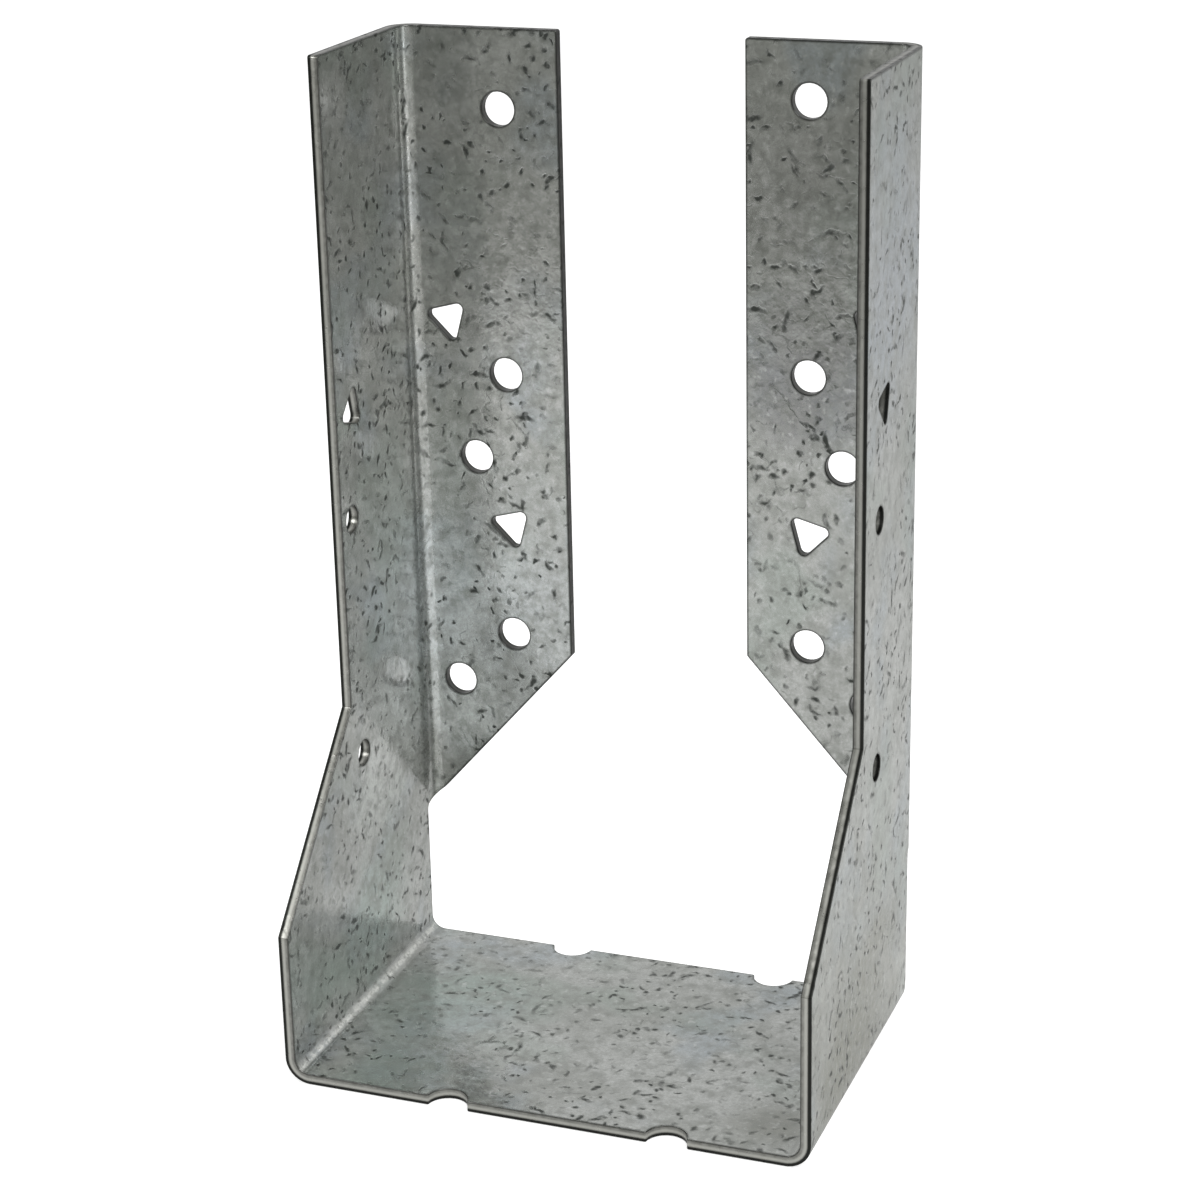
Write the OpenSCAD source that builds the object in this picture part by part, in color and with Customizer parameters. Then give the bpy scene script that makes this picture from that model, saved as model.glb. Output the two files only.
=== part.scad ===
// Face-mount joist hanger with turned-in flanges, folded from one strip of sheet steel.
// The strip makes the seat and the two side plates, and its back edges turn in as flanges.
// +Z is up, the joist enters from -Y, and the flanges bear on the header at the +Y end.
// The origin is at the middle of the bounding box, on the underside of the seat.

/* [Sheet] */
// Thickness of the steel
sheet = 1.9; // [1.2:0.1:2.5]
// Inside radius of the four bends
bend_radius = 2.5; // [1.2:0.1:3.2]

/* [Pocket] */
// Clear width between the side plates
pocket_width = 90.5; // [76:0.5:140]
// Height from the underside of the seat to the top of the hanger
height = 172; // [150:1:240]
// Depth from the front edge of the seat to the header
depth = 64; // [54:0.5:90]

/* [Side plates] */
// Height at which the front edge starts to slope back
lip_height = 29.3; // [12:0.1:50]
// Height at which the slope ends and the narrow upper strip starts
slope_top = 60.4; // [40:0.1:90]
// Depth of the upper strip, measured from the header
strip_depth = 34.8; // [26:0.1:50]

/* [Flanges] */
// Width of each flange, measured from the outside of its side plate
flange_width = 30.5; // [24:0.1:36]
// Height of the upper corner of the bevel, at the flange's free edge
bevel_height = 61.3; // [52:0.1:80]
// Slope of the bevel, measured from the horizontal
bevel_angle = 48.3; // [20:0.1:54]
// Further drop of the bevel as it passes round the flange bend
bend_drop = 4.4; // [1:0.1:9]

/* [Header nail holes] */
// Diameter of the round holes in the flanges
header_hole = 6; // [3:0.1:7]
// Distance of the inner column of holes from the flange's free edge
inner_column = 11.1; // [6:0.1:12]
// Distance of the single middle hole from the flange's free edge
middle_column = 17.2; // [12:0.1:20]
// Distance of the outer column of holes from the outside of the side plate
outer_column = 8.5; // [8:0.1:11]
// Distance of the top hole below the top of the flange
top_hole_drop = 11.9; // [8:0.1:20]
// Height of the outer triangular hole above the bevel's upper corner
outer_triangle_rise = 61.1; // [45:0.1:70]
// Height of the second inner round hole above that corner
high_hole_rise = 51.8; // [47:0.1:60]
// Height of the middle round hole above that corner
middle_hole_rise = 36.2; // [33:0.1:41]
// Height of the inner triangular hole above that corner
inner_triangle_rise = 23.5; // [14:0.1:28]
// Height of the lowest inner round hole above that corner
low_hole_rise = 3; // [0:0.1:8]
// Distance of the lowest outer round hole below that corner
outer_hole_drop = 7; // [0:0.1:12]

/* [Joist nail holes] */
// Diameter of the round holes in the side plates
joist_hole = 4.7; // [3:0.1:6]
// Distance of the round holes from the front edge of the upper strip
round_setback = 6.3; // [6:0.1:14]
// Distance of the triangular hole from that edge
triangle_setback = 8.4; // [8:0.1:14]
// Height of the lower round hole
low_joist_height = 52; // [40:0.1:70]
// Height of the upper round hole
high_joist_height = 95.5; // [80:0.1:100]
// Height of the triangular hole
triangle_joist_height = 114.6; // [108:0.1:135]
// Offset of each plate's holes from these heights, down on the left and up on the right
height_stagger = 1.8; // [0:0.1:4]
// Offset of each plate's holes along it, forwards on the left and back on the right
depth_stagger = 2.1; // [0:0.1:2.6]

/* [Triangular holes] */
// Side length of the triangle before its corners are rounded
triangle_side = 8.2; // [6:0.1:9]
// Radius of its corners
triangle_corner = 1; // [0.4:0.1:1.2]
// Tilt of the corner that points away from the fold
triangle_tilt = 15; // [0:1:30]

/* [Seat notches] */
// Diameter of the round notches in the front and back edges of the seat
notch_diameter = 7.2; // [4:0.1:12]
// How far each notch reaches into the seat
notch_depth = 3.3; // [1.5:0.1:3.6]
// Distance between the two notches in an edge
notch_spacing = 39.2; // [20:0.1:56]
// How far the notches sit to the right of the middle of the seat
notch_shift = 2.7; // [0:0.1:4]

/* [Punching] */
// How far the holes, slopes and bevels sit along the strip, down the left and up the right
pattern_shift = 1.9; // [0:0.1:4]

/* [Hidden] */
$fn = 96;
// Overlap that keeps joined and cut shapes from sharing a face
overlap = 1;
// Angle between the points along a triangle's rounded corner
corner_step = 15;

half_width = pocket_width / 2 + sheet;
front_edge = -depth / 2;
header_face = depth / 2;
strip_front = header_face - strip_depth;
bend_outer = bend_radius + sheet;
// The side plates end where the flange bends start
strip_back = header_face - bend_outer;
flange_edge = half_width - flange_width;

// A height on the blank, moved with the punched pattern
function punched(side, z) = z + side * pattern_shift;

// Shape a right-hand piece for the right (1) or the left (-1)
module on_side(side) {
    mirror([1 - side, 0, 0]) children();
}

// Rectangle standing on the X axis, with its two lower corners rounded
module round_bottomed(width, top, radius) {
    translate([-width / 2, radius]) square([width, top - radius]);
    translate([-width / 2 + radius, 0]) square([width - 2 * radius, top]);
    for (side = [-1, 1])
        translate([side * (width / 2 - radius), radius]) circle(r = radius);
}

// Triangle with rounded corners, one of them on the X axis
module rounded_triangle() {
    reach = triangle_side / sqrt(3) - 2 * triangle_corner;
    polygon([
        for (turn = [0, 120, 240], arc = [-60:corner_step:60])
            reach * [cos(turn), sin(turn)] + triangle_corner * [cos(turn + arc), sin(turn + arc)]
    ]);
}

// Seat, side plates and the two bends between them, as one section run from front to back
module folded_strip() {
    translate([0, strip_back, 0]) rotate([90, 0, 0]) linear_extrude(strip_back - front_edge)
        difference() {
            round_bottomed(2 * half_width, height, bend_outer);
            translate([0, sheet]) round_bottomed(pocket_width, height, bend_radius);
        }
}

// Space in front of a side plate's sloped edge and upper strip
module front_cut(side) {
    slope_start = punched(side, lip_height);
    slope_end = punched(side, slope_top);
    translate([side * half_width, 0, 0]) rotate([90, 0, 90])
        linear_extrude(half_width, center = true) polygon([
            [front_edge - overlap, slope_start],
            [front_edge, slope_start],
            [strip_front, slope_end],
            [strip_front, height + overlap],
            [front_edge - overlap, height + overlap]
        ]);
}

// Section through the right-hand flange and the bend that joins it to the side plate
module flange_section() {
    translate([flange_edge, header_face - sheet])
        square([flange_width - bend_outer, sheet]);
    translate([half_width - bend_outer, strip_back]) {
        intersection() {
            difference() {
                circle(r = bend_outer);
                circle(r = bend_radius);
            }
            square(bend_outer);
        }
        translate([bend_radius, -overlap]) square([sheet, overlap]);
    }
}

// Right-hand flange and bend, with the bevel cut at this side's height
module flange(side) {
    bevel_start = punched(side, bevel_height);
    bend_start = bevel_start - (flange_width - bend_outer) * tan(bevel_angle);
    intersection() {
        linear_extrude(height) flange_section();
        translate([0, header_face, 0]) rotate([90, 0, 0])
            linear_extrude(bend_outer + 2 * overlap) polygon([
                [flange_edge, bevel_start],
                [half_width - bend_outer, bend_start],
                [half_width, bend_start - bend_drop],
                [half_width, height],
                [flange_edge, height]
            ]);
    }
}

// Punch through a flange, at a distance from the middle of the pocket
module punch_flange(side, distance, z) {
    translate([distance, header_face + overlap, punched(side, z)]) rotate([90, 0, 0])
        linear_extrude(sheet + 2 * overlap) children();
}

// The seven holes in a flange
module header_holes(side) {
    inner = flange_edge + inner_column;
    outer = half_width - outer_column;
    for (z = [height - top_hole_drop, bevel_height + high_hole_rise, bevel_height + low_hole_rise])
        punch_flange(side, inner, z) circle(d = header_hole);
    punch_flange(side, flange_edge + middle_column, bevel_height + middle_hole_rise)
        circle(d = header_hole);
    punch_flange(side, outer, bevel_height - outer_hole_drop) circle(d = header_hole);
    punch_flange(side, inner, bevel_height + inner_triangle_rise)
        rotate(triangle_tilt) rounded_triangle();
    punch_flange(side, outer, bevel_height + outer_triangle_rise)
        rotate(triangle_tilt) rounded_triangle();
}

// Punch through a side plate, at a distance behind the front edge of the upper strip
module punch_plate(side, setback, z) {
    y = strip_front + setback + side * depth_stagger;
    translate([half_width - sheet / 2, y, punched(side, z + side * height_stagger)])
        rotate([90, 0, 90]) linear_extrude(sheet + 2 * overlap, center = true) children();
}

// The three holes in a side plate
module joist_holes(side) {
    for (z = [low_joist_height, high_joist_height])
        punch_plate(side, round_setback, z) circle(d = joist_hole);
    punch_plate(side, triangle_setback, triangle_joist_height)
        rotate(180 - side * triangle_tilt) rounded_triangle();
}

// The four round notches in the seat's front and back edges
module seat_notches() {
    inset = notch_depth - notch_diameter / 2;
    for (x = [-notch_spacing / 2, notch_spacing / 2], y = [front_edge + inset, strip_back - inset])
        translate([x + notch_shift, y, -overlap]) cylinder(d = notch_diameter, h = sheet + 2 * overlap);
}

module hanger() {
    color([0.6, 0.62, 0.63]) difference() {
        union() {
            difference() {
                folded_strip();
                for (side = [-1, 1]) front_cut(side);
            }
            for (side = [-1, 1]) on_side(side) flange(side);
        }
        for (side = [-1, 1]) on_side(side) {
            header_holes(side);
            joist_holes(side);
        }
        seat_notches();
    }
}

hanger();
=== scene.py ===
import math

import bpy
import numpy as np
from mathutils import Matrix, Vector
from mathutils.geometry import delaunay_2d_cdt


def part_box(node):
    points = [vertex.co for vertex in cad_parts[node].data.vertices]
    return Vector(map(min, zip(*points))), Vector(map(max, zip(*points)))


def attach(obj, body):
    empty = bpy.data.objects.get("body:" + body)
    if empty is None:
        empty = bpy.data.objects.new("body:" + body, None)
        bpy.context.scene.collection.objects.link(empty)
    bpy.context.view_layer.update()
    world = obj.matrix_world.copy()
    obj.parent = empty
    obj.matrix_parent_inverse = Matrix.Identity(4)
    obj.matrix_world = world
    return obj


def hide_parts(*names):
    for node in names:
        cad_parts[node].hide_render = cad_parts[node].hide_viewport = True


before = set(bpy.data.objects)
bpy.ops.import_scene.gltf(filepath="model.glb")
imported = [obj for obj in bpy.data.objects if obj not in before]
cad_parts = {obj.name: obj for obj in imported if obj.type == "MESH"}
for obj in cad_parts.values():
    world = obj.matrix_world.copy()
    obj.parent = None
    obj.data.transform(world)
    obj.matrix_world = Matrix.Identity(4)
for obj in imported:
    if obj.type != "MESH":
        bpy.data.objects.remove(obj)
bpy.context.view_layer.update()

low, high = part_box("hanger")

# ---------------------------------------------------------------- sizes of the pattern, in mm
# Heights are those of the folded hanger.
LIP_HEIGHT = 29.3                  # where a side plate's front edge starts to slope back
SLOPE_TOP = 60.4                   # where its narrow upper strip starts
STRIP_DEPTH = 34.8                 # depth of that strip, measured from the header
FLANGE_FLAT = 26.1                 # width of a flange without its bend
BEVEL_HEIGHT = 61.3                # upper corner of the bevel under a flange
BEVEL_ANGLE = math.radians(48.3)
BEVEL_TAIL = 3.3                   # further drop of the bevel across the flange bend
# corner radii of the bevel at the two sides of that bend
KNEE_RADIUS, TAIL_RADIUS = 1.5, 1.3
# round notches in the seat's edges, and their places to the right of the middle
NOTCH_RADIUS, NOTCH_DEPTH, NOTCH_CORNER = 3.6, 3.3, 0.3
LEFT_NOTCH, RIGHT_NOTCH = -16.9, 22.3
# holes in a flange: distance from the hanger's middle plane, and height
HEADER_RADIUS = 3.0
HEADER_ROUNDS = ((27.75, 160.1), (27.75, 113.1), (33.85, 97.5), (27.75, 64.3), (38.65, 54.3))
HEADER_TRIANGLES = ((38.65, 122.4), (27.75, 84.8))
# holes in a side plate: distance behind the upper strip's front edge, and height
JOIST_RADIUS = 2.35
JOIST_ROUNDS = ((6.3, 52), (6.3, 95.5))
JOIST_TRIANGLE = (8.4, 114.6)
# triangular holes: side without the rounding, corner radius, and tilt of one corner
TRIANGLE_SIDE, TRIANGLE_CORNER = 8.2, 1.0
TRIANGLE_TILT = math.radians(15)
# points round each circle of the holes, and steps round each corner of the triangles
HEADER_POINTS, JOIST_POINTS, TRIANGLE_STEPS = 28, 24, 7

# ---------------------------------------------------------------- the sheet, in metres
MM = 0.001
SHEET = 1.9 * MM
BEND = 2.5 * MM                    # inside radius of the four bends
BEND_OUT = BEND + SHEET
BEND_MID = BEND + SHEET / 2        # radius of the layer that keeps its length
ARC = math.pi / 2 * BEND_MID       # flat length that a bend takes up
SHIFT = 1.9 * MM                   # punched pattern, down on the left and up on the right
HEIGHT_STAGGER = 1.8 * MM          # joist nail holes, down on the left and up on the right
DEPTH_STAGGER = 2.1 * MM           # joist nail holes, forwards on the left and back on the right

HALF = high.x                      # outer face of the right side plate
SEAT = HALF - BEND_OUT             # half of the seat's flat
FRONT = low.y
BACK = high.y - BEND_OUT - low.y   # depth of the seat, and of a side plate
TOP = high.z - BEND_OUT + SEAT + ARC
STRIP = high.y - low.y - STRIP_DEPTH * MM      # upper strip's front edge, from the seat's front
FREE = BACK + ARC + FLANGE_FLAT * MM           # free edge of a flange

EDGE = 0.16 * MM                   # rounding of the sheared edges
CORNER = 0.45 * MM                 # rounding of the outline's corners


def strip_at(side, z):
    """Place along the flat strip of a height on a side plate or flange."""
    return side * (z - BEND_OUT + SEAT + ARC)


def fold(s, t, h):
    """Folded places, outward normals and the two tangents of points on the flat blank.
    s runs along the strip from the seat's middle, t back from the seat's front edge,
    and h from the outer surface (0) to the inner one (SHEET)."""
    side = np.where(s < 0, -1.0, 1.0)
    a = np.abs(s)
    up = np.clip((a - SEAT) / BEND_MID, 0, math.pi / 2)
    turn = np.clip((t - BACK) / BEND_MID, 0, math.pi / 2)
    sin_up, cos_up, sin_turn, cos_turn = np.sin(up), np.cos(up), np.sin(turn), np.cos(turn)
    r = BEND_OUT - h
    x = np.minimum(a, SEAT) + r * sin_up * cos_turn - np.maximum(t - BACK - ARC, 0)
    y = FRONT + np.minimum(t, BACK) + r * sin_turn
    z = BEND_OUT - r * cos_up + np.maximum(a - SEAT - ARC, 0)
    zero = np.zeros_like(a)
    place = np.stack([side * x, y, z], -1)
    normal = np.stack([side * sin_up * cos_turn, sin_turn, -cos_up * cos_turn], -1)
    along = np.stack([cos_up, zero, side * sin_up], -1)
    back = np.stack([-side * sin_turn, cos_turn, zero], -1)
    return place, normal, along, back


# ---------------------------------------------------------------- outline of the blank
BEND_STEPS = 8
STEP = 1.6 * MM                    # longest piece of the outline
LEAST = 0.05 * MM                  # shortest piece that a bend's line may cut off
ROUNDING_STEP = 0.4                # radians between the points of a rounded corner
NOTCH_STEPS = 12
bend_lines = [(i + 0.5) / BEND_STEPS * ARC for i in range(BEND_STEPS)] + [0, ARC]
SEAT_LINES = sorted([side * (SEAT + q) for q in bend_lines for side in (-1, 1)])
FLANGE_LINES = sorted([BACK + q for q in bend_lines])


def rounded(points):
    """Closed loop of (s, t, radius) corners, turned into points with the corners rounded."""
    loop = []
    count = len(points)
    for i in range(count):
        here = np.array(points[i][:2])
        radius = points[i][2]
        if radius == 0:
            loop.append(here)
            continue
        before = np.array(points[i - 1][:2]) - here
        after = np.array(points[(i + 1) % count][:2]) - here
        before /= np.linalg.norm(before)
        after /= np.linalg.norm(after)
        half = math.acos(np.clip(before @ after, -1, 1)) / 2
        reach = radius / math.tan(half)
        middle = here + (before + after) / np.linalg.norm(before + after) * radius / math.sin(half)
        first, last = here + before * reach - middle, here + after * reach - middle
        sweep = math.atan2(first[0] * last[1] - first[1] * last[0], first @ last)
        steps = max(3, round(abs(sweep) / ROUNDING_STEP))
        for k in range(steps + 1):
            cosine, sine = math.cos(sweep * k / steps), math.sin(sweep * k / steps)
            loop.append(middle + np.array([cosine * first[0] - sine * first[1],
                                           sine * first[0] + cosine * first[1]]))
    return loop


def finely(loop):
    """The same loop with its long stretches divided, also where they cross a bend's lines."""
    fine = []
    for i, p in enumerate(loop):
        q = loop[(i + 1) % len(loop)]
        length = np.linalg.norm(q - p)
        cuts = set()
        for axis, lines in ((0, SEAT_LINES), (1, FLANGE_LINES)):
            if abs(q[axis] - p[axis]) > 1e-9:
                cuts |= {(line - p[axis]) / (q[axis] - p[axis]) for line in lines}
        cuts = sorted(u for u in cuts if LEAST < u * length < length - LEAST)
        stops = [0.0] + cuts + [1.0]
        for u, v in zip(stops, stops[1:]):
            pieces = max(1, math.ceil((v - u) * length / STEP))
            fine += [p + (q - p) * (u + (v - u) * k / pieces) for k in range(pieces)]
    return np.array(fine)


def notch(x, t, into):
    """Corners of a round notch in the seat's front (into = 1) or back (into = -1) edge."""
    radius, depth = NOTCH_RADIUS * MM, NOTCH_DEPTH * MM
    half = math.acos((radius - depth) / radius)
    middle = t + into * (depth - radius)
    arc = []
    for k in range(NOTCH_STEPS + 1):
        w = half * (1 - 2 * k / NOTCH_STEPS)
        rounding = NOTCH_CORNER * MM if k in (0, NOTCH_STEPS) else 0
        arc.append((x * MM - into * radius * math.sin(w), middle + into * radius * math.cos(w),
                    rounding))
    return arc


def half_outline(side):
    """Right (1) or left (-1) end of the blank, from the front lip round to the back edge."""
    def at(z):
        return strip_at(side, z * MM + side * SHIFT)
    knee = BEVEL_HEIGHT - FLANGE_FLAT * math.tan(BEVEL_ANGLE)
    return [
        (at(LIP_HEIGHT), 0, CORNER),
        (at(SLOPE_TOP), STRIP, CORNER),
        (side * TOP, STRIP, CORNER),
        (side * TOP, FREE, CORNER),
        (at(BEVEL_HEIGHT), FREE, CORNER),
        (at(knee), BACK + ARC, KNEE_RADIUS * MM),
        (at(knee - BEVEL_TAIL), BACK, TAIL_RADIUS * MM),
    ]


outline = rounded(
    notch(LEFT_NOTCH, 0, 1) + notch(RIGHT_NOTCH, 0, 1)
    + half_outline(1)
    + notch(RIGHT_NOTCH, BACK, -1) + notch(LEFT_NOTCH, BACK, -1)
    + half_outline(-1)[::-1]
)


def circle_hole(s, t, radius, count):
    turns = [-2 * math.pi * k / count for k in range(count)]
    return np.array([(s + radius * math.cos(w), t + radius * math.sin(w)) for w in turns])


def triangle_hole(s, t, tip):
    """Rounded triangle with one corner towards tip (radians), its sides divided."""
    corner = TRIANGLE_CORNER * MM
    reach = TRIANGLE_SIDE * MM / math.sqrt(3) - 2 * corner
    points = []
    for turn in (0, -120, -240):
        middle = tip + math.radians(turn)
        for k in range(TRIANGLE_STEPS + 1):
            w = middle + math.radians(60 - 120 * k / TRIANGLE_STEPS)
            points.append((s + reach * math.cos(middle) + corner * math.cos(w),
                           t + reach * math.sin(middle) + corner * math.sin(w)))
    fine = []
    for p, q in zip(points, points[1:] + points[:1]):
        pieces = max(1, round(math.dist(p, q) / MM))
        fine += [(p[0] + (q[0] - p[0]) * k / pieces, p[1] + (q[1] - p[1]) * k / pieces)
                 for k in range(pieces)]
    return np.array(fine)


def side_holes(side):
    """The holes of the right (1) or left (-1) flange and side plate."""
    def in_flange(x, z):
        return strip_at(side, z * MM + side * SHIFT), BACK + ARC + SEAT - x * MM

    def in_plate(setback, z):
        return (strip_at(side, z * MM + side * (HEIGHT_STAGGER + SHIFT)),
                STRIP + setback * MM + side * DEPTH_STAGGER)

    # one corner of each triangle points along -t, tilted up in a flange, and towards the
    # right end of the strip in a side plate
    flange_tip = math.atan2(-math.cos(TRIANGLE_TILT), side * math.sin(TRIANGLE_TILT))
    plate_tip = math.atan2(-math.cos(TRIANGLE_TILT), math.sin(TRIANGLE_TILT))
    return (
        [circle_hole(*in_flange(*hole), HEADER_RADIUS * MM, HEADER_POINTS)
         for hole in HEADER_ROUNDS]
        + [triangle_hole(*in_flange(*hole), flange_tip) for hole in HEADER_TRIANGLES]
        + [circle_hole(*in_plate(*hole), JOIST_RADIUS * MM, JOIST_POINTS)
           for hole in JOIST_ROUNDS]
        + [triangle_hole(*in_plate(*JOIST_TRIANGLE), plate_tip)]
    )


loops = [finely(outline)] + side_holes(-1) + side_holes(1)


def outward(loop):
    """Unit normals of a loop in the blank's plane, pointing off the sheet."""
    step = np.roll(loop, -1, 0) - loop
    step /= np.linalg.norm(step, axis=1)[:, None]
    side = np.stack([step[:, 1], -step[:, 0]], -1)
    mean = side + np.roll(side, 1, 0)
    return mean / np.linalg.norm(mean, axis=1)[:, None]


# ---------------------------------------------------------------- points and triangles of the flats
GRID = 3.0 * MM                    # spacing of the points inside the flats
INSETS = (0.55 * MM, 1.3 * MM)     # closer rows along the edges
MARGIN = 0.8 * MM                  # rows along the bends stop this far from an edge
CLEAR = 0.5 * MM                   # least distance of an inside point from an edge
APART = 0.55 * MM                  # least distance between inside points, along the two axes
CELL = 0.6 * MM                    # side of the cells used to find close points
ROW_START = 20 * MM                # height at which the rows along a flange bend start

normals_2d = [outward(loop) for loop in loops]
inner_loops = [loop - EDGE * n for loop, n in zip(loops, normals_2d)]
edge_points = np.concatenate(loops)


def grid_points():
    """Candidates for inside points: a plain grid, rows along the bends, and rows by the edges."""
    found = []
    for s in np.arange(-TOP, TOP, GRID):
        in_seat_bend = SEAT - GRID / 3 < abs(s) < SEAT + ARC + GRID / 3
        for t in np.arange(GRID / 2, FREE, GRID):
            in_flange_bend = BACK - GRID / 3 < t < BACK + ARC + GRID / 3
            if not in_seat_bend and not in_flange_bend:
                found.append((s, t))
    for s in SEAT_LINES:
        found += [(s, t) for t in np.arange(GRID / 2, BACK, GRID) if t < BACK - MARGIN]
    for t in FLANGE_LINES:
        for side in (-1, 1):
            found += [(side * s, t) for s in np.arange(strip_at(1, ROW_START), TOP - MARGIN, GRID)]
    for loop, n in zip(loops, normals_2d):
        for inset in INSETS:
            found += [tuple(p) for p in loop - inset * n]
    return np.array(found)


def inside(points, loop):
    """Which points lie inside a closed loop."""
    x, y = points[:, 0], points[:, 1]
    hit = np.zeros(len(points), bool)
    for (x0, y0), (x1, y1) in zip(loop, np.roll(loop, -1, 0)):
        if y0 != y1:
            crosses = (y0 > y) != (y1 > y)
            hit ^= crosses & (x < (x1 - x0) * (y - y0) / (y1 - y0) + x0)
    return hit


def on_sheet(points, outer, *cut_out):
    """Which points lie inside the outer loop and outside all the others."""
    keep = inside(points, outer)
    for hole in cut_out:
        keep &= ~inside(points, hole)
    return keep


def distance_to(points, others, chunk=2000):
    """Distance of each point to the nearest of others."""
    out = np.empty(len(points))
    for i in range(0, len(points), chunk):
        part = points[i:i + chunk, None, :] - others[None, :, :]
        out[i:i + chunk] = np.sqrt((part ** 2).sum(-1).min(1))
    return out


def thinned(points):
    """The points in their order, without those too close to an earlier one."""
    chosen, cells = [], {}
    for p in points:
        column, row = int(p[0] // CELL), int(p[1] // CELL)
        around = [q for i in (-1, 0, 1) for j in (-1, 0, 1)
                  for q in cells.get((column + i, row + j), ())]
        if all(abs(q[0] - p[0]) + abs(q[1] - p[1]) >= APART for q in around):
            cells.setdefault((column, row), []).append(p)
            chosen.append(p)
    return np.array(chosen)


def triangulated(points):
    """Triangles between the points on the sheet, which start with those of inner_loops."""
    constraints = []
    start = 0
    for loop in inner_loops:
        n = len(loop)
        constraints += [(start + i, start + (i + 1) % n) for i in range(n)]
        start += n
    # the triangulation's tolerances suit sizes near 1, so it works on the points times 100
    out = delaunay_2d_cdt([Vector(p) for p in points * 100], constraints, [], 0, 1e-7, True)
    source = [ids[0] if ids else -1 for ids in out[3]]
    assert min(source) >= 0 and len(source) == len(points)
    found = np.array([[source[v] for v in corners] for corners in out[2]])
    return found[on_sheet(points[found].mean(1), *inner_loops)]


free_points = grid_points()
free_points = free_points[on_sheet(free_points, *loops)]
free_points = thinned(free_points[distance_to(free_points, edge_points) > CLEAR])
triangles = triangulated(np.concatenate(inner_loops + [free_points]))

# ---------------------------------------------------------------- mesh of the folded sheet
# Rows down a sheared wall and its two rounded edges, from the inner surface to the outer one:
# inset, height, angle of the normal from the surface's own, and surface (-1 inner, 1 outer).
RIM_STEPS = 3
inner_rim = [(EDGE * (1 - math.sin(w)), SHEET - EDGE * (1 - math.cos(w)), w)
             for w in (math.pi / 2 * k / RIM_STEPS for k in range(RIM_STEPS + 1))]
rim = ([(e, h, w, -1) for e, h, w in inner_rim]
       + [(e, SHEET - h, w, 1) for e, h, w in reversed(inner_rim)])

NEAR = 0.1 * MM                    # how near counts as on a line of the outline
made_rows = {}                     # what is known of the vertices, in rows of the same order


def add_row(points, h, edge, dull, face, angle=0.0, away=None):
    """Adds a row of folded points and gives the index of its first one. face is 1 on the outer
    surface and -1 on the inner one, and angle turns the normals towards away."""
    base = sum(len(p) for p in made_rows.get("place", ()))
    depth = np.full(len(points), h)
    away = np.zeros_like(points) if away is None else away
    place, normal, along, back = fold(points[:, 0], points[:, 1], depth)
    normal = (normal * face * math.cos(angle)
              + math.sin(angle) * (away[:, :1] * along + away[:, 1:] * back))
    for key, value in (("place", place), ("normal", normal), ("blank", points), ("away", away),
                       ("depth", depth), ("edge", edge), ("dull", dull)):
        made_rows.setdefault(key, []).append(value)
    return base


def dullness(loop, punched):
    """How dark the walls are, 0 to 1: the flanges' edges and holes are the darkest."""
    s, t = loop.T
    on_flange, on_right = t > BACK + ARC, s > 0
    if punched:
        return np.where(on_flange, 0.9, np.where(on_right, 0.7, 0.3))
    upper_strip = np.abs(t - STRIP) < NEAR
    back_or_top = (t > BACK - NEAR) | (np.abs(s) > TOP - NEAR)
    front = np.where(upper_strip & on_right, 0.4, 0.22)
    return np.where(on_flange, 1.0, np.where(back_or_top, 0.6, front))


def tent(distance, peak):
    """Rises from 0 to 1 at the peak, and is down to 0 again at twice the peak's distance."""
    return 1 - np.abs(distance / peak - 1)


def outer_bend_shade(s, t, h):
    """Painted shade on the outside of the bends: 0 to 1."""
    seat_bend = tent(SEAT + ARC - np.abs(s), ARC / 2)
    flange_bend = tent(t - BACK, ARC / 4)
    return np.where(h < SHEET / 2, np.clip(np.maximum(seat_bend, flange_bend), 0, 1), 0)


def creases(s, t, h):
    """Nearness to the middle of a seat bend (0 to 1) or a flange bend (0 to -1), inside them."""
    seat_bend = np.clip(tent(np.abs(s) - SEAT, ARC / 2), 0, 1)
    flange_bend = np.clip(tent(t - BACK, ARC / 2), 0, 1)
    return np.where(h > SHEET / 2, seat_bend - flange_bend, 0)


# the vertices of the triangles' points, on the inner surface and on the outer one
inner_index, outer_index = [], []
faces = []
for number, (loop, n) in enumerate(zip(loops, normals_2d)):
    count = len(loop)
    dull = dullness(loop, punched=number > 0)
    starts = [add_row(loop - e * n, h, np.full(count, max(0.0, e)), dull, face, w, n)
              for e, h, w, face in rim]
    inner_index.append(starts[0] + np.arange(count))
    outer_index.append(starts[-1] + np.arange(count))
    for r0, r1 in zip(starts, starts[1:]):
        for i in range(count):
            j = (i + 1) % count
            faces.append((r0 + i, r0 + j, r1 + j, r1 + i))

edge_distance = distance_to(free_points, edge_points)
not_dull = np.zeros(len(free_points))
for index, h, face in ((inner_index, SHEET, -1), (outer_index, 0.0, 1)):
    start = add_row(free_points, h, edge_distance, not_dull, face)
    index.append(start + np.arange(len(free_points)))
    faces += [tuple(f) for f in np.concatenate(index)[triangles]]

vertices = {key: np.concatenate(rows) for key, rows in made_rows.items()}
places, blank, depths = vertices["place"], vertices["blank"], vertices["depth"]
normals = vertices["normal"] / np.linalg.norm(vertices["normal"], axis=1)[:, None]


def facing_out(face):
    """The face with its corners in the order that makes it look outwards."""
    a, b, c = (places[i] for i in face[:3])
    turned = np.cross(b - a, c - a)
    if len(face) == 4:
        turned = turned + np.cross(c - a, places[face[3]] - a)
    mean = sum(normals[i] for i in face)
    return face if turned @ mean > 0 else face[::-1]


mesh = bpy.data.meshes.new("hanger_sheet")
mesh.from_pydata(places.tolist(), [], [facing_out([int(i) for i in f]) for f in faces])
mesh.validate()
mesh.polygons.foreach_set("use_smooth", [True] * len(mesh.polygons))

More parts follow.
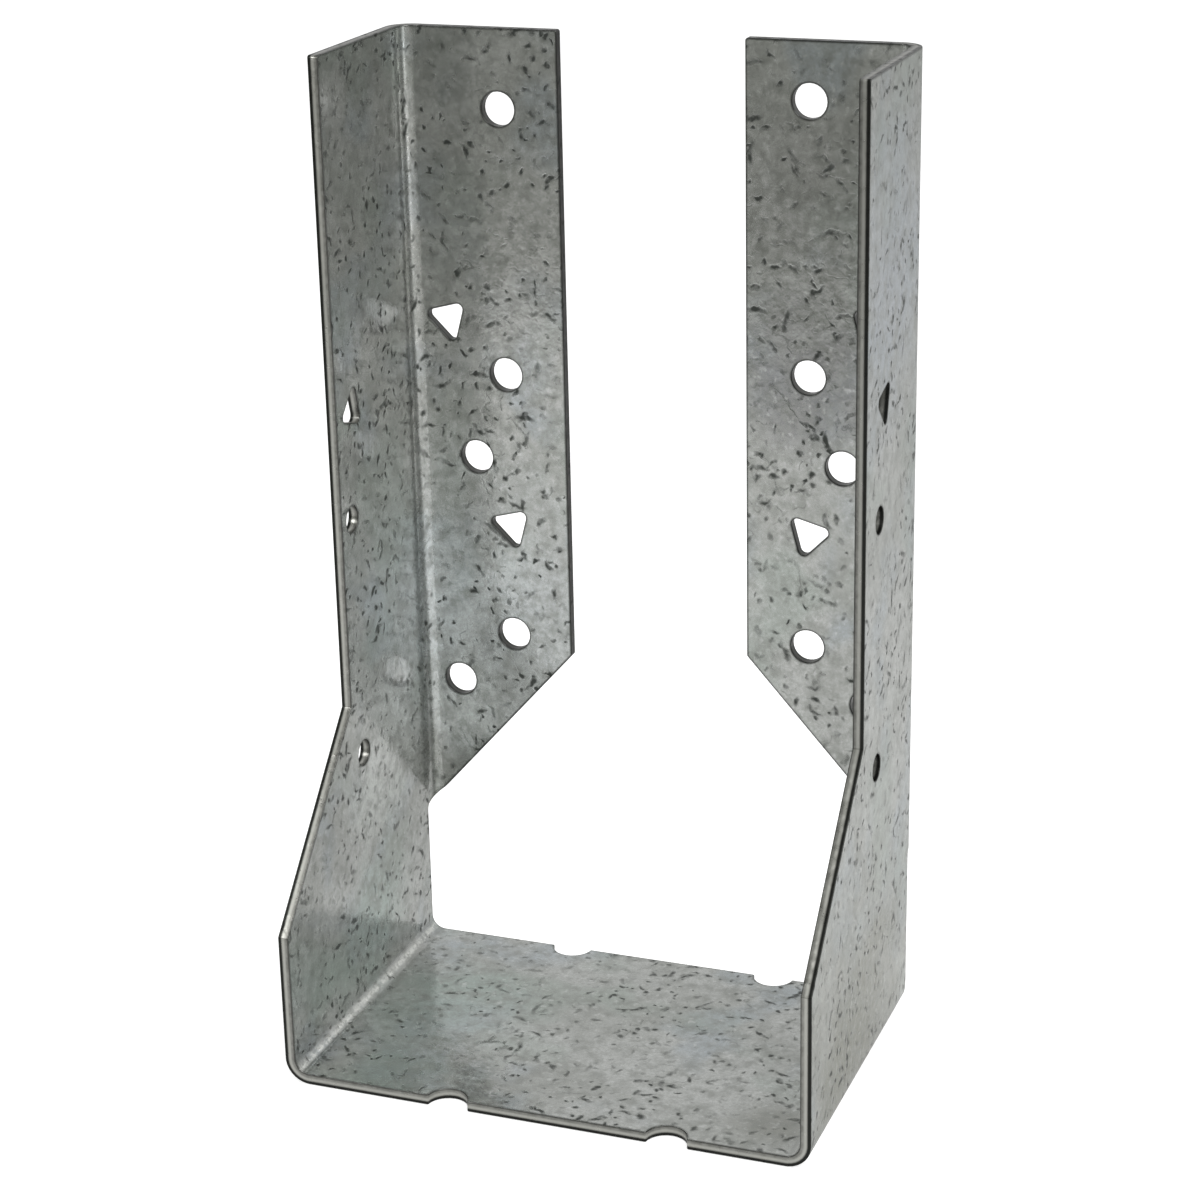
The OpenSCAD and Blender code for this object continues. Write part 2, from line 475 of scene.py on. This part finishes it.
# The map is the flat blank, in parts of MAP metres. The sheared walls unroll from the inner
# surface, and the outer surface has a place of its own.
MAP = 0.46
MAP_START = (0.5, 0.02)
OUTER_START = 0.25
corner_vertex = np.zeros(len(mesh.loops), int)
mesh.loops.foreach_get("vertex_index", corner_vertex)
corner_counts = np.zeros(len(mesh.polygons), int)
mesh.polygons.foreach_get("loop_total", corner_counts)
on_outer = depths[corner_vertex] < SHEET / 2
first_corners = np.concatenate([[0], np.cumsum(corner_counts)[:-1]])
outer_face = np.repeat(np.minimum.reduceat(on_outer.astype(int), first_corners), corner_counts)
unrolled = blank + vertices["away"] * (SHEET - depths)[:, None]
flat_map = np.where(outer_face[:, None] == 1, blank[corner_vertex] + (0, OUTER_START * MAP),
                    unrolled[corner_vertex])
uv = mesh.uv_layers.new(name="blank")
uv.data.foreach_set("uv", (flat_map / MAP + MAP_START).ravel())

for name, values in (
    ("edge", vertices["edge"] / MM),           # distance from the sheet's edges, 0 on the walls
    ("across", depths / SHEET),                # 0 on the outer surface, 1 on the inner one
    ("dull", vertices["dull"]),
    # painted shade outside the bends
    ("bend_shade_mask", outer_bend_shade(blank[:, 0], blank[:, 1], depths)),
    # where the painted shade and painted highlight of the seat bends go
    ("crease", creases(blank[:, 0], blank[:, 1], depths)),
):
    layer = mesh.attributes.new(name, "FLOAT", "POINT")
    layer.data.foreach_set("value", values)
mesh.normals_split_custom_set_from_vertices(normals.tolist())
mesh.update()
hanger = bpy.data.objects.new("hanger_sheet", mesh)
bpy.context.scene.collection.objects.link(hanger)
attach(hanger, "root")
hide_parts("hanger")

# ---------------------------------------------------------------- galvanised steel


class Graph:
    """Short ways to add and join a material's nodes."""

    def __init__(self, tree):
        self.tree = tree

    def node(self, kind, **values):
        made = self.tree.nodes.new(kind)
        for name, value in values.items():
            setattr(made, name, value)
        return made

    def put(self, socket, value):
        if isinstance(value, bpy.types.NodeSocket):
            self.tree.links.new(value, socket)
        else:
            socket.default_value = value

    def attribute(self, name):
        return self.node("ShaderNodeAttribute", attribute_name=name).outputs["Fac"]

    def calc(self, operation, a, b=0.0):
        made = self.node("ShaderNodeMath", operation=operation)
        self.put(made.inputs[0], a)
        self.put(made.inputs[1], b)
        return made.outputs[0]

    def vector(self, operation, a, b=(0, 0, 0), scale=1.0):
        made = self.node("ShaderNodeVectorMath", operation=operation)
        self.put(made.inputs[0], a)
        if operation == "SCALE":
            self.put(made.inputs["Scale"], scale)
        else:
            self.put(made.inputs[1], b)
        return made.outputs["Value" if operation == "DISTANCE" else "Vector"]

    def blend(self, factor, a, b):
        made = self.node("ShaderNodeMix", data_type="RGBA")
        self.put(made.inputs[0], factor)
        self.put(made.inputs[6], a)
        self.put(made.inputs[7], b)
        return made.outputs[2]

    def spread(self, value, low, high, to_low=0.0, to_high=1.0, smooth=False):
        made = self.node("ShaderNodeMapRange",
                         interpolation_type="SMOOTHSTEP" if smooth else "LINEAR")
        for name, number in (("Value", value), ("From Min", low), ("From Max", high),
                             ("To Min", to_low), ("To Max", to_high)):
            self.put(made.inputs[name], number)
        return made.outputs["Result"]

    def noise(self, place, scale, detail=2.0, rough=0.5, shift=0.0, distort=0.0, result="Fac"):
        """Noise around 0.5, scale being its cells per mm. shift picks another part of it."""
        made = self.node("ShaderNodeTexNoise", noise_dimensions="3D")
        if shift:
            place = self.vector("ADD", place, (shift, shift * 1.7, shift * 0.3))
        self.put(made.inputs["Vector"], place)
        self.put(made.inputs["Scale"], scale)
        self.put(made.inputs["Detail"], detail)
        self.put(made.inputs["Roughness"], rough)
        self.put(made.inputs["Distortion"], distort)
        return made.outputs[result]

    def marks(self, place, pitch, length, width, bow, chance, shift):
        """Scattered soft strokes, 0 to 1, in mm. Each cell of the pitch has one with the given
        chance, turned at random and from 0.45 to 1 times the full size."""
        moved = self.vector("ADD", place, (shift, shift * 0.37, 0))
        cells = self.node("ShaderNodeTexVoronoi", voronoi_dimensions="2D", feature="F1")
        self.put(cells.inputs["Vector"], moved)
        self.put(cells.inputs["Scale"], 1 / pitch)
        self.put(cells.inputs["Randomness"], 0.8)
        local = self.vector("SUBTRACT", moved, cells.outputs["Position"])
        split = self.node("ShaderNodeSeparateColor")
        self.put(split.inputs[0], cells.outputs["Color"])
        turn = self.node("ShaderNodeVectorRotate", rotation_type="Z_AXIS")
        self.put(turn.inputs["Vector"], local)
        self.put(turn.inputs["Angle"], self.calc("MULTIPLY", split.outputs[0], 2 * math.pi))
        axes = self.node("ShaderNodeSeparateXYZ")
        self.put(axes.inputs[0], turn.outputs[0])
        size = self.spread(split.outputs[1], 0, 1, 0.45, 1.0)
        x, y = axes.outputs[0], axes.outputs[1]
        curved = self.calc("ADD", y, self.calc("MULTIPLY", self.calc("MULTIPLY", x, x), bow))
        u = self.calc("DIVIDE", x, self.calc("MULTIPLY", size, length / 2))
        v = self.calc("DIVIDE", curved, self.calc("MULTIPLY", size, width / 2))
        far = self.calc("SQRT", self.calc("ADD", self.calc("MULTIPLY", u, u),
                                          self.calc("MULTIPLY", v, v)))
        shape = self.spread(far, 1.15, 0.25, smooth=True)            # soft from the middle out
        there = self.calc("LESS_THAN", split.outputs[2], chance)
        return self.calc("MULTIPLY", shape, there)


def new_graph(block):
    """The emptied node tree of a material or a world."""
    block.use_nodes = True
    block.node_tree.nodes.clear()
    return Graph(block.node_tree)


# Base colours of the coat,
GREY_CLOUD = (0.455, 0.465, 0.445, 1)
PALE_CLOUD = (0.565, 0.575, 0.56, 1)
BLUE_CLOUD = (0.42, 0.47, 0.51, 1)
GREEN_CLOUD = (0.385, 0.445, 0.40, 1)
MOTTLE = (0.26, 0.27, 0.25, 1)
GRIT = (0.30, 0.31, 0.29, 1)
SPECK = (0.74, 0.75, 0.74, 1)
FLECK = (0.04, 0.045, 0.04, 1)
# painted shade on the outside of the bends
BEND_SHADE_COLOUR = (0.07, 0.07, 0.06, 1)
# painted shade inside the seat bends, and a painted highlight along their middle
CREASE_SHADE_COLOUR = (0.2, 0.2, 0.19, 1)
BEND_HIGHLIGHT_COLOUR = (0.78, 0.79, 0.75, 1)
# painted shade: a dark outline on the faces beside the sheared walls
EDGE_SHADE_COLOUR = (0.04, 0.042, 0.038, 1)
# and of the sheared walls.
SHEARED = (0.40, 0.40, 0.375, 1)
TORN = (0.27, 0.27, 0.25, 1)
BURNISHED = (0.60, 0.60, 0.56, 1)
DULL = (0.012, 0.012, 0.011, 1)
# painted shade: near-black lines at the two edges of a sheared wall
LIP_SHADE_COLOUR = (0.02, 0.021, 0.019, 1)

# Broad patches laid over the coat, mostly painted light: the pale ones on the left flange and
# the left plate's inner face are painted highlights and a painted reflection, the bluish one high
# on the right plate's outer face is a painted highlight, and the dark ones, on the right flange and
# low on the right plate's outer face, are painted shade. The others are greenish patches on the
# seat's left and low on the left plate, grey patches on the two flanges and a dark patch at the
# seat's right front corner. Side, height, distance from the front edge of the seat and radius
# in mm, whether on the outer surface, colour and strength.
LIGHT_AND_TINT_PATCHES = (
    (-1, 130, 68, 40, False, (0.60, 0.60, 0.58, 1), 0.5),
    (-1, 66, 70, 33, False, (0.69, 0.73, 0.74, 1), 0.85),
    (-1, 73, 89, 14, False, (0.50, 0.52, 0.52, 1), 0.5),
    (-1, 43, 40, 18, False, (0.73, 0.75, 0.73, 1), 0.85),
    (-1, 47, 71, 11, False, (0.82, 0.85, 0.85, 1), 0.6),
    (1, 148, 80, 18, False, (0.51, 0.51, 0.50, 1), 0.7),
    (1, 114, 80, 19, False, (0.25, 0.25, 0.255, 1), 0.85),
    (1, 6, 26, 44, True, (0.21, 0.21, 0.165, 1), 0.95),
    (1, 138, 45, 32, True, (0.52, 0.565, 0.64, 1), 0.7),
    (-1, -12, 32, 22, False, (0.40, 0.475, 0.44, 1), 0.75),
    (-1, 16, 36, 15, False, (0.50, 0.58, 0.545, 1), 0.75),
    (1, -6, 9, 8, False, (0.26, 0.26, 0.23, 1), 0.6),
)


def with_light_and_tint_patches(g, place, colour):
    """The colour with the broad patches of painted light and shade and of tint laid over it, each
    with a ragged edge.
    """
    ragged = g.calc("MULTIPLY", g.noise(place, 0.09, 3, 0.6, shift=307), 1.2)
    for side, z, t, radius, outside, patch_tone, strength in LIGHT_AND_TINT_PATCHES:
        middle = (strip_at(side, z * MM) / MM + MAP_START[0] * MAP / MM,
                  t + (MAP_START[1] + OUTER_START * outside) * MAP / MM, 0)
        away = g.vector("DISTANCE", place, middle)
        far = g.calc("ADD", g.calc("DIVIDE", away, radius), ragged)
        colour = g.blend(g.spread(far, 0.7, 1.7, strength, 0.0, smooth=True), colour, patch_tone)
    return colour


def zinc_colour_and_painted_light(g, place):
    """Base colour of the coat: cool and warm clouds, broad patches of painted light and shade and
    of tint, a mottle, a fine grit and pale specks.
    """
    cloud = g.spread(g.noise(place, 0.05, 3, 0.6, distort=0.6), 0.36, 0.64, smooth=True)
    colour = g.blend(cloud, GREY_CLOUD, PALE_CLOUD)
    blue = g.spread(g.noise(place, 0.06, 2, 0.5, shift=37), 0.5, 0.66, 0.0, 0.6, smooth=True)
    colour = g.blend(blue, colour, BLUE_CLOUD)
    green = g.spread(g.noise(place, 0.045, 2, 0.5, shift=131), 0.52, 0.66, 0.0, 0.5, smooth=True)
    colour = g.blend(green, colour, GREEN_CLOUD)
    # broad patches, mostly painted highlights, reflections and shade
    colour = with_light_and_tint_patches(g, place, colour)
    mottle = g.spread(g.noise(place, 0.4, 3, 0.6, shift=11), 0.44, 0.66, 0.0, 0.6)
    colour = g.blend(mottle, colour, MOTTLE)
    grit = g.spread(g.noise(place, 2.0, 2, 0.6, shift=151), 0.36, 0.64, 0.0, 0.35)
    colour = g.blend(grit, colour, GRIT)
    speck = g.spread(g.noise(place, 0.8, 2, 0.6, shift=201), 0.58, 0.72, 0.0, 0.35)
    return g.blend(speck, colour, SPECK)


# Dark flecks and long scratches of the coat: pitch of the cells, length and width in mm, bow,
# chance, and an offset of the pattern.
FLECKS = (
    (2.5, 1.7, 1.3, 0.0, 0.34, 401),
    (3.7, 2.6, 1.4, 0.14, 0.42, 0),
    (4.8, 3.7, 1.2, 0.17, 0.5, 213),
    (7.0, 5.4, 1.35, -0.12, 0.45, 577),
)
SCRATCHES = (17, 12, 0.5, 0.03, 0.45, 97)


def fleck_depth(g, place):
    """Dark flecks, from 0 to 1: dots, strokes and broken arcs in patches, and long scratches."""
    stir = g.vector("SUBTRACT", g.noise(place, 0.8, result="Color"), (0.5, 0.5, 0.5))
    bent = g.vector("ADD", place, g.vector("SCALE", stir, scale=1.3))
    dark = 0.0
    for fleck in FLECKS:
        dark = g.calc("MAXIMUM", dark, g.marks(bent, *fleck))
    contour = g.calc("ABSOLUTE", g.calc("SUBTRACT", g.noise(place, 0.2, shift=57), 0.5))
    arcs = g.calc("MULTIPLY", g.spread(contour, 0.026, 0.002, smooth=True),
                  g.spread(g.noise(place, 0.5, shift=83), 0.5, 0.62, smooth=True))
    dark = g.calc("MAXIMUM", dark, g.calc("MULTIPLY", arcs, 0.4))
    patchy = g.spread(g.noise(place, 0.06, shift=71), 0.36, 0.56, 0.3, 1.0)
    uneven = g.spread(g.noise(place, 0.7, shift=29), 0.38, 0.56, 0.5, 1.0)
    dark = g.spread(g.calc("MULTIPLY", g.calc("MULTIPLY", dark, patchy), uneven), 0, 0.85)
    scratch = g.marks(bent, *SCRATCHES)
    return g.calc("MAXIMUM", dark, g.calc("MULTIPLY", scratch, 0.35))


def sheared_colour(g, place, across, dull):
    """Base colour of the sheared walls: grey with a burnished band, and painted shade in near-black
    lines at its two edges.
    """
    torn = g.spread(g.noise(place, 0.9, 3, 0.65, shift=43), 0.36, 0.64)
    grey = g.blend(torn, SHEARED, TORN)
    band = g.spread(across, 0.54, 0.76, 1.0, 0.0, smooth=True)
    middle = g.blend(band, grey, BURNISHED)
    middle = g.blend(dull, middle, DULL)
    # painted shade: near-black lines at the wall's outer and inner edges
    outer_lip_shade = g.spread(across, 0.25, 0.45, 1.0, 0.0, smooth=True)
    reach = g.calc("SUBTRACT", 0.86, g.calc("MULTIPLY", dull, 0.27))
    inner_lip_shade = g.spread(across, reach, 0.97, 0.0, g.spread(dull, 0, 1, 0.7, 1.0), smooth=True)
    return g.blend(g.calc("MAXIMUM", outer_lip_shade, inner_lip_shade), middle, LIP_SHADE_COLOUR)


def galvanised():
    made = bpy.data.materials.new("galvanised_steel")
    g = new_graph(made)
    flat = g.node("ShaderNodeUVMap", uv_map="blank").outputs[0]
    place = g.vector("MULTIPLY", flat, (MAP / MM,) * 3)          # millimetres on the blank
    edge, across, dull = g.attribute("edge"), g.attribute("across"), g.attribute("dull")

    dark = fleck_depth(g, place)
    colour = g.blend(g.calc("MULTIPLY", dark, 0.92), zinc_colour_and_painted_light(g, place), FLECK)
    # painted shade on the outside of the bends
    colour = g.blend(g.calc("MULTIPLY", g.attribute("bend_shade_mask"), 0.8), colour, BEND_SHADE_COLOUR)
    # inside a seat bend: painted shade across the bend, and a painted highlight in beads along its
    # middle
    crease = g.attribute("crease")
    beads = g.spread(g.noise(place, 0.9, 2, 0.6, shift=61), 0.38, 0.58, 0.1, 0.75)
    bend_highlight = g.calc("MULTIPLY", g.spread(crease, 0.5, 1.0, smooth=True), beads)
    colour = g.blend(g.spread(crease, 0.02, 0.3, 0.0, 0.3), colour, CREASE_SHADE_COLOUR)
    colour = g.blend(bend_highlight, colour, BEND_HIGHLIGHT_COLOUR)
    # painted shade as a dark outline beside the sheared walls, and then the walls
    edge_shade_strength = g.calc("ADD", 0.45, g.calc("MULTIPLY", dull, 0.4))
    colour = g.blend(g.spread(edge, 0.15, 0.5, edge_shade_strength, 0.0, smooth=True), colour, EDGE_SHADE_COLOUR)
    wall = g.spread(edge, 0.02, 0.12, 1.0, 0.0)
    colour = g.blend(wall, colour, sheared_colour(g, place, across, dull))

    rough = g.spread(g.noise(place, 0.6, 3, 0.6, shift=5), 0.35, 0.65, 0.11, 0.25)
    rough = g.calc("ADD", rough, g.calc("MULTIPLY", dark, 0.2))
    rough = g.calc("ADD", rough, g.calc("MULTIPLY", wall, 0.15))
    rough = g.calc("ADD", rough, g.spread(crease, -0.5, 0.0, 0.1, 0.0))

    height = g.calc("ADD", g.calc("MULTIPLY", dark, -0.65), g.noise(place, 0.5, shift=17))
    dents = g.noise(place, 0.12, 1, shift=19)
    height = g.calc("ADD", height, g.calc("MULTIPLY", dents, 1.2))
    bump = g.node("ShaderNodeBump")
    g.put(bump.inputs["Height"], height)
    g.put(bump.inputs["Strength"], 0.35)
    g.put(bump.inputs["Distance"], 0.0001)

    shader = g.node("ShaderNodeBsdfPrincipled")
    g.put(shader.inputs["Base Color"], colour)
    g.put(shader.inputs["Metallic"], 0.85)
    g.put(shader.inputs["Roughness"], rough)
    g.put(shader.inputs["Normal"], bump.outputs[0])
    g.put(g.node("ShaderNodeOutputMaterial").inputs["Surface"], shader.outputs[0])
    return made


mesh.materials.append(galvanised())

# ---------------------------------------------------------------- floor, backdrop and lamps


def seen_white(g, direct, mirrored):
    """Strength of the backdrop for the rays that see it: from the camera directly, and
    mirrored in metal or through glass."""
    path = g.node("ShaderNodeLightPath")
    bounced = g.calc("MAXIMUM", path.outputs["Is Glossy Ray"], path.outputs["Is Transmission Ray"])
    return g.calc("MAXIMUM", g.calc("MULTIPLY", path.outputs["Is Camera Ray"], direct),
                  g.calc("MULTIPLY", bounced, mirrored))


FLOOR_GREY = (0.7, 0.7, 0.7, 1)
DIM_ROOM = (0.29, 0.295, 0.275, 1)
BRIGHT_ROOM = (0.67, 0.675, 0.67, 1)
WHITE = (1, 1, 1, 1)


def floor_material():
    made = bpy.data.materials.new("floor")
    g = new_graph(made)
    soft = g.node("ShaderNodeBsdfDiffuse")
    g.put(soft.inputs["Color"], FLOOR_GREY)
    glow = g.node("ShaderNodeEmission")
    g.put(glow.inputs["Strength"], seen_white(g, direct=0.72, mirrored=0.055))
    both = g.node("ShaderNodeAddShader")
    g.put(both.inputs[0], soft.outputs[0])
    g.put(both.inputs[1], glow.outputs[0])
    g.put(g.node("ShaderNodeOutputMaterial").inputs["Surface"], both.outputs[0])
    return made


# the floor ends a little way in front of the hanger, so the metal mirrors the dim room there
FLOOR_FRONT, FLOOR_BACK, FLOOR_SIDE = -0.42, 4.0, 4.0
FLOOR_GAP = 0.0002
floor_mesh = bpy.data.meshes.new("floor")
floor_mesh.from_pydata([(-FLOOR_SIDE, FLOOR_FRONT, 0), (FLOOR_SIDE, FLOOR_FRONT, 0),
                        (FLOOR_SIDE, FLOOR_BACK, 0), (-FLOOR_SIDE, FLOOR_BACK, 0)],
                       [], [(0, 1, 2, 3)])
floor_mesh.materials.append(floor_material())
floor = bpy.data.objects.new("floor", floor_mesh)
floor.location.z = low.z - FLOOR_GAP
bpy.context.scene.collection.objects.link(floor)


def studio():
    """White backdrop, seen directly and mirrored, and a dimmer room in front of the hanger."""
    made = bpy.data.worlds.new("studio")
    g = new_graph(made)
    toward = g.node("ShaderNodeSeparateXYZ")
    g.put(toward.inputs[0], g.node("ShaderNodeTexCoord").outputs["Generated"])
    behind = g.spread(toward.outputs[1], -0.55, 0.35, smooth=True)
    room = g.node("ShaderNodeBackground")
    g.put(room.inputs["Color"], g.blend(behind, DIM_ROOM, BRIGHT_ROOM))
    white = g.node("ShaderNodeBackground")
    g.put(white.inputs["Color"], WHITE)
    pick = g.node("ShaderNodeMixShader")
    mirrored = g.calc("MULTIPLY", behind, 0.15)
    g.put(pick.inputs[0], seen_white(g, direct=1.0, mirrored=mirrored))
    g.put(pick.inputs[1], room.outputs[0])
    g.put(pick.inputs[2], white.outputs[0])
    g.put(g.node("ShaderNodeOutputWorld").inputs[0], pick.outputs[0])
    return made


bpy.context.scene.world = studio()

# name, place, the point it faces, width and height in metres, and power in watts
LAMPS = (
    ("lamp_right", (0.42, -0.42, 0.7), (0, 0, 0.05), 0.5, 0.5, 5.9),
    ("lamp_strip", (0.6, -0.27, 0.16), (0, 0, 0.16), 0.07, 0.3, 0.2),
    ("lamp_left", (-0.25, -0.3, 0.3), (-0.12, -0.12, 0), 0.15, 0.15, 0.35),
    ("lamp_back", (0.5, 0.6, 0.6), (0.3, 0.4, 0), 0.4, 0.4, 0.5),
)
for name, place, aim, width, height, power in LAMPS:
    light = bpy.data.lights.new(name, "AREA")
    light.shape = "RECTANGLE"
    light.size, light.size_y = width, height
    light.energy = power
    lamp = bpy.data.objects.new(name, light)
    lamp.location = place
    lamp.rotation_euler = (Vector(aim) - Vector(place)).to_track_quat("-Z", "Y").to_euler()
    bpy.context.scene.collection.objects.link(lamp)

# ---------------------------------------------------------------- camera
CAMERA_PLACE = (0.16461, -0.43187, 0.24961)
TURN, DIP, ROLL = 0.36312, 0.34723, -0.02132       # radians: to the left, down, anticlockwise

view = bpy.data.cameras.new("camera")
view.sensor_width = 36.0
view.lens = 87.98
camera = bpy.data.objects.new("camera", view)
bpy.context.scene.collection.objects.link(camera)
ahead = Vector((-math.sin(TURN) * math.cos(DIP), math.cos(TURN) * math.cos(DIP), -math.sin(DIP)))
right = Vector((math.cos(TURN), math.sin(TURN), 0))
upward = right.cross(ahead)
across = right * math.cos(ROLL) + upward * math.sin(ROLL)
over = -right * math.sin(ROLL) + upward * math.cos(ROLL)
camera.matrix_world = Matrix.Translation(CAMERA_PLACE) @ Matrix(
    [[across[i], over[i], -ahead[i]] for i in range(3)]).to_4x4()
bpy.context.scene.camera = camera
bpy.context.scene.view_settings.view_transform = "Standard"
